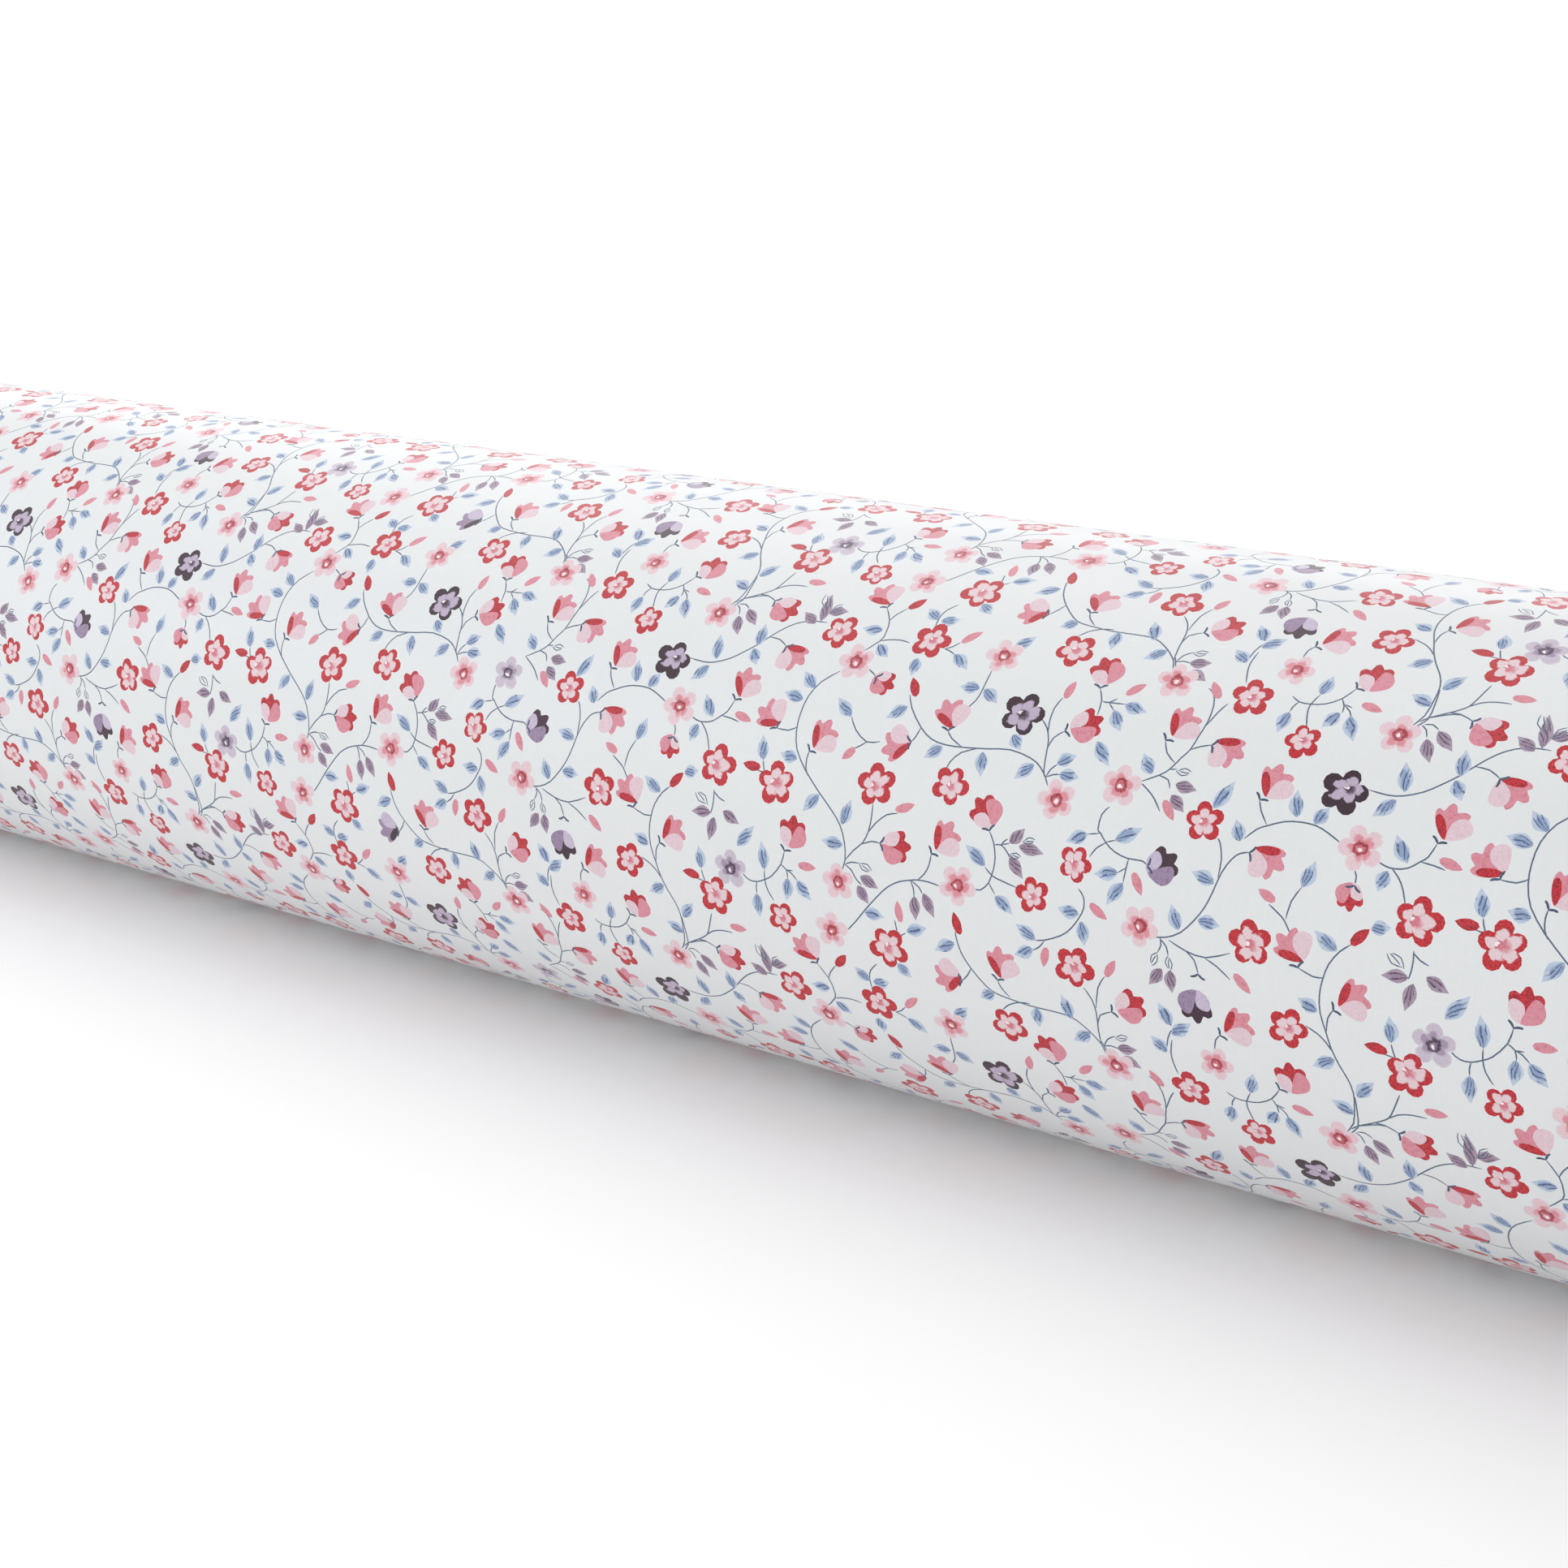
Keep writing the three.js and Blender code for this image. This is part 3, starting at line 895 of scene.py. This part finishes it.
def leaf_colour(graph, x, y, blots, slow_shift, inks):
    """A light wash, a deeper middle near the base, and a few loose strokes that fan out of the base."""
    outer, inner, heart = inks
    dx = graph.math("DIVIDE", graph.math("SUBTRACT", x, LEAF_MIDDLE), LEAF_WASH[0])
    dy = graph.math("DIVIDE", y, LEAF_WASH[1])
    body = graph.ramp(graph.squares(dx, dy), 1.15, 0.45)
    fan = graph.math("DIVIDE", y, graph.ramp(x, -0.2, 0.5, 0.15, 0.95))
    phase = graph.math("MULTIPLY", graph.channel(slow_shift, 0), STROKE_PHASES)
    wave = graph.math("ADD", graph.math("MULTIPLY", fan, STROKE_PACE), graph.math("MULTIPLY", x, 2.0))
    strokes = graph.product(
        graph.ramp(graph.math("SINE", graph.math("ADD", wave, phase)), 0.2, 0.85),
        graph.ramp(blots, 0.32, 0.44),
        graph.ramp(graph.math("ABSOLUTE", fan), 0.85, 0.6),
        graph.ramp(x, 0.85, 0.6),
    )
    leaf = graph.mix(graph.math("MULTIPLY", body, 0.85), outer, inner)
    return graph.mix(graph.math("MULTIPLY", strokes, 0.85), leaf, heart)


def print_colour(graph, tile, grain):
    """The colour of the print, and its ink's grain as a tone. The map tile is in millimetres of cloth."""
    table = list(INKS.values())
    number = graph.node("ShaderNodeAttribute", attribute_name="ink").outputs["Fac"]
    factor = graph.math("DIVIDE", graph.math("ADD", number, 0.5), len(table))
    inks = [graph.palette(factor, [linear(ink[k]) for ink in table]) for k in (1, 2, 3)]
    kinds = graph.node("ShaderNodeSeparateColor", {0: graph.palette(factor, [
        (ink[0] == "bloom", ink[0] == "soft", ink[0] == "leaf", 1) for ink in table])}).outputs

    mark = graph.node("ShaderNodeUVMap", uv_map="mark").outputs[0]
    shaken = graph.shaken(mark, graph.noise(tile, 0.8, 1.0, "Color"), OUTLINE_SHAKE)
    slow_shift = graph.noise(tile, 0.16, 0.0, "Color")
    x, y = graph.split(shaken)
    inner_x, inner_y = graph.split(graph.shaken(shaken, slow_shift, INNER_SHIFT))
    blots = graph.noise(tile, 1.1, 1.0)

    colour = graph.mix(graph.math("MULTIPLY", graph.ramp(blots, 0.45, 0.7), 0.6), inks[0], inks[2])
    colour = graph.mix(kinds[0], colour, bloom_colour(graph, inner_x, inner_y, inks))
    colour = graph.mix(kinds[1], colour, soft_colour(graph, x, y, inner_x, inner_y, inks))
    colour = graph.mix(kinds[2], colour, leaf_colour(graph, x, y, blots, slow_shift, inks))

    # The grain shows most in the deep inks, and not where there is no ink.
    depth = graph.math("MULTIPLY", graph.ramp(graph.channel(colour, 1), 0.01, 0.25, 1.0, 0.15),
                       graph.math("GREATER_THAN", factor, 1 / len(table)))
    speckle = graph.ramp(grain, 0.38, 0.62, -0.45, 0.3)
    return colour, graph.math("MULTIPLY_ADD", speckle, depth, 1.0)


def film_material():
    """Satin coated cloth: the print in its inks, with their grain, over a fine linen grain."""
    material = bpy.data.materials.new("printed_oilcloth")
    graph = Graph(material)
    tile = graph.node("ShaderNodeUVMap", uv_map="tile").outputs[0]
    grain = graph.noise(tile, 2.8, 3.0)
    colour, pigment = print_colour(graph, tile, grain)

    # The linen under the coating: threads both ways, which also show faintly as a tone.
    cloth = graph.node("ShaderNodeUVMap", uv_map="cloth").outputs[0]
    warp = graph.noise(graph.vector("MULTIPLY", cloth, (2.2, 0.16, 1)), 1.0, 1.0)
    weft = graph.noise(graph.vector("MULTIPLY", cloth, (0.16, 2.2, 1)), 1.0, 1.0)
    linen = graph.math("MAXIMUM", warp, weft)
    tone = graph.math("MULTIPLY", graph.ramp(linen, 0.5, 0.72, 0.985, 1.005), pigment)
    shade = graph.node("ShaderNodeCombineColor", {0: tone, 1: tone, 2: tone}).outputs[0]
    graph.put(graph.mix(1.0, colour, shade, blend="MULTIPLY"), graph.shader.inputs["Base Color"])

    slow = graph.noise(graph.vector("MULTIPLY", cloth, (0.012, 0.03, 1)), 1.0, 2.0)
    height = graph.math("ADD", graph.math("MULTIPLY", linen, 0.04), graph.math("MULTIPLY", slow, 0.5))
    bump = graph.node("ShaderNodeBump", {"Height": height, "Distance": 0.001, "Strength": 0.6})
    graph.put(bump.outputs[0], graph.shader.inputs["Normal"])
    graph.put(graph.ramp(grain, 0.3, 0.7, 0.36, 0.44), graph.shader.inputs["Roughness"])
    graph.shader.inputs["Specular IOR Level"].default_value = 0.35
    graph.shader.inputs["Coat Weight"].default_value = 0.25
    graph.shader.inputs["Coat Roughness"].default_value = 0.25
    return material


def backing_material():
    """The uncoated back and the cut edges: white fleece with short fibres."""
    material = bpy.data.materials.new("oilcloth_backing")
    graph = Graph(material)
    place = graph.node("ShaderNodeTexCoord").outputs["Object"]
    fibres = graph.noise(graph.vector("MULTIPLY", place, (900, 4000, 4000)), 1.0, 3.0)
    blots = graph.noise(place, 160.0, 2.0)
    colour = graph.mix(graph.ramp(fibres, 0.3, 0.7), linear((214, 214, 212)), linear((240, 240, 238)))
    colour = graph.mix(graph.ramp(blots, 0.4, 0.7, 0, 0.25), colour, linear((205, 204, 200)))
    graph.put(colour, graph.shader.inputs["Base Color"])
    bump = graph.node("ShaderNodeBump", {"Height": fibres, "Distance": 0.00008, "Strength": 0.5})
    graph.put(bump.outputs[0], graph.shader.inputs["Normal"])
    graph.put(graph.ramp(fibres, 0.3, 0.7, 0.75, 0.9), graph.shader.inputs["Roughness"])
    return material


# ------------------------------------------------
# Floor, light and camera.

CAMERA_FROM_AXIS = Vector((0.366, -0.4506, 0.1709))
CAMERA_YAW = 35.47
CAMERA_PITCH = 17.56
CAMERA_LENS = 56.27
SENSOR_WIDTH = 36
SKY = 0.74
FLOOR_PROFILE = [(0, 0), (6, 0), (20, 0), (28, 1), (34, 4), (38, 10), (40, 20)]  # radius and height, metres
FLOOR_SIDES = 48
FLOOR_GLOW = (0.06, 0.31)  # near the roll, and far away
FLOOR_GLOW_REACH = (1.0, 4.0)
LIT_X = 0.05  # the lights face this place on the roll
# name, direction in degrees from +X, elevation, distance, size, radiance, colour
SOFTBOXES = [
    ("softbox_behind", 118, 34, 1.9, (2.4, 1.4), 0.70, (1, 1, 1)),
    ("softbox_above", 165, 62, 1.8, (1.6, 1.6), 1.1, (1, 1, 1)),
    ("softbox_left", -140, 30, 1.2, (1.0, 1.0), 0.75, (0.88, 0.94, 1)),
]


def plain_material(name, colour, roughness):
    material = bpy.data.materials.new(name)
    graph = Graph(material)
    graph.shader.inputs["Base Color"].default_value = linear(colour)
    graph.shader.inputs["Roughness"].default_value = roughness
    graph.shader.inputs["Specular IOR Level"].default_value = 0.1
    return material


def make_floor():
    """A wide pale floor that sweeps up far away, so no horizon shows. It glows faintly, to look white."""
    n = FLOOR_SIDES
    verts = [(r * math.cos(TURN * k / n), r * math.sin(TURN * k / n), z)
             for r, z in FLOOR_PROFILE for k in range(n)]
    faces = [(i * n + k, i * n + (k + 1) % n, (i + 1) * n + (k + 1) % n, (i + 1) * n + k)
             for i in range(len(FLOOR_PROFILE) - 1) for k in range(n)]
    mesh = bpy.data.meshes.new("floor")
    mesh.from_pydata(verts, [], faces)
    mesh.polygons.foreach_set("use_smooth", [True] * len(mesh.polygons))
    floor = bpy.data.objects.new("floor", mesh)
    bpy.context.scene.collection.objects.link(floor)
    material = plain_material("studio_floor", (249, 249, 249), 0.9)
    graph = Graph(material)
    place = graph.node("ShaderNodeTexCoord").outputs["Object"]
    away = graph.node("ShaderNodeVectorMath", {0: place}, operation="LENGTH").outputs["Value"]
    graph.shader.inputs["Emission Color"].default_value = (1, 1, 1, 1)
    graph.put(graph.ramp(away, *FLOOR_GLOW_REACH, *FLOOR_GLOW), graph.shader.inputs["Emission Strength"])
    floor.data.materials.append(material)


def make_softbox(name, direction, elevation, distance, size, radiance, colour):
    """A rectangular light that faces the roll."""
    light = bpy.data.lights.new(name, "AREA")
    light.shape = "RECTANGLE"
    light.size, light.size_y = size
    light.energy = radiance * math.pi * size[0] * size[1]
    light.color = colour
    lamp = bpy.data.objects.new(name, light)
    bpy.context.scene.collection.objects.link(lamp)
    turn, rise = math.radians(direction), math.radians(elevation)
    away = Vector((math.cos(turn) * math.cos(rise), math.sin(turn) * math.cos(rise), math.sin(rise)))
    target = Vector((LIT_X, 0, AXIS_HEIGHT * MM))
    lamp.location = target + away * distance
    lamp.visible_camera = False
    lamp.rotation_euler = (-away).to_track_quat("-Z", "Y").to_euler()


def make_studio():
    make_floor()
    for softbox in SOFTBOXES:
        make_softbox(*softbox)
    world = bpy.data.worlds.new("studio")
    world.use_nodes = True
    world.node_tree.nodes["Background"].inputs[0].default_value = (1, 1, 1, 1)
    world.node_tree.nodes["Background"].inputs[1].default_value = SKY
    bpy.context.scene.world = world
    bpy.context.scene.view_settings.view_transform = "Standard"


def make_camera():
    camera_data = bpy.data.cameras.new("camera")
    camera_data.lens = CAMERA_LENS
    camera_data.sensor_width = SENSOR_WIDTH
    camera_data.clip_start = 0.01
    camera = bpy.data.objects.new("camera", camera_data)
    bpy.context.scene.collection.objects.link(camera)
    camera.location = Vector((0, AXIS_Y * MM, AXIS_HEIGHT * MM)) + CAMERA_FROM_AXIS
    camera.rotation_euler = (math.radians(90 - CAMERA_PITCH), 0, math.radians(CAMERA_YAW))
    bpy.context.scene.camera = camera


# ------------------------------------------------

make_camera()
make_studio()

turns = wound_cloth()
turns.data.materials.append(backing_material())
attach(turns, "root")
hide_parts("oilcloth_roll")

repeats = [repeat_mesh(odd) for odd in (0, 1)]
printed = film_material()
for number, start in enumerate(range(FIRST_COLUMN, FIRST_COLUMN + COLUMNS, COLUMNS_PER_PIECE), 1):
    film = film_piece(repeats, range(start, start + COLUMNS_PER_PIECE), f"oilcloth_print_{number}")
    film.data.materials.append(printed)
    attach(film, "root")
for repeat in repeats:
    bpy.data.meshes.remove(repeat)
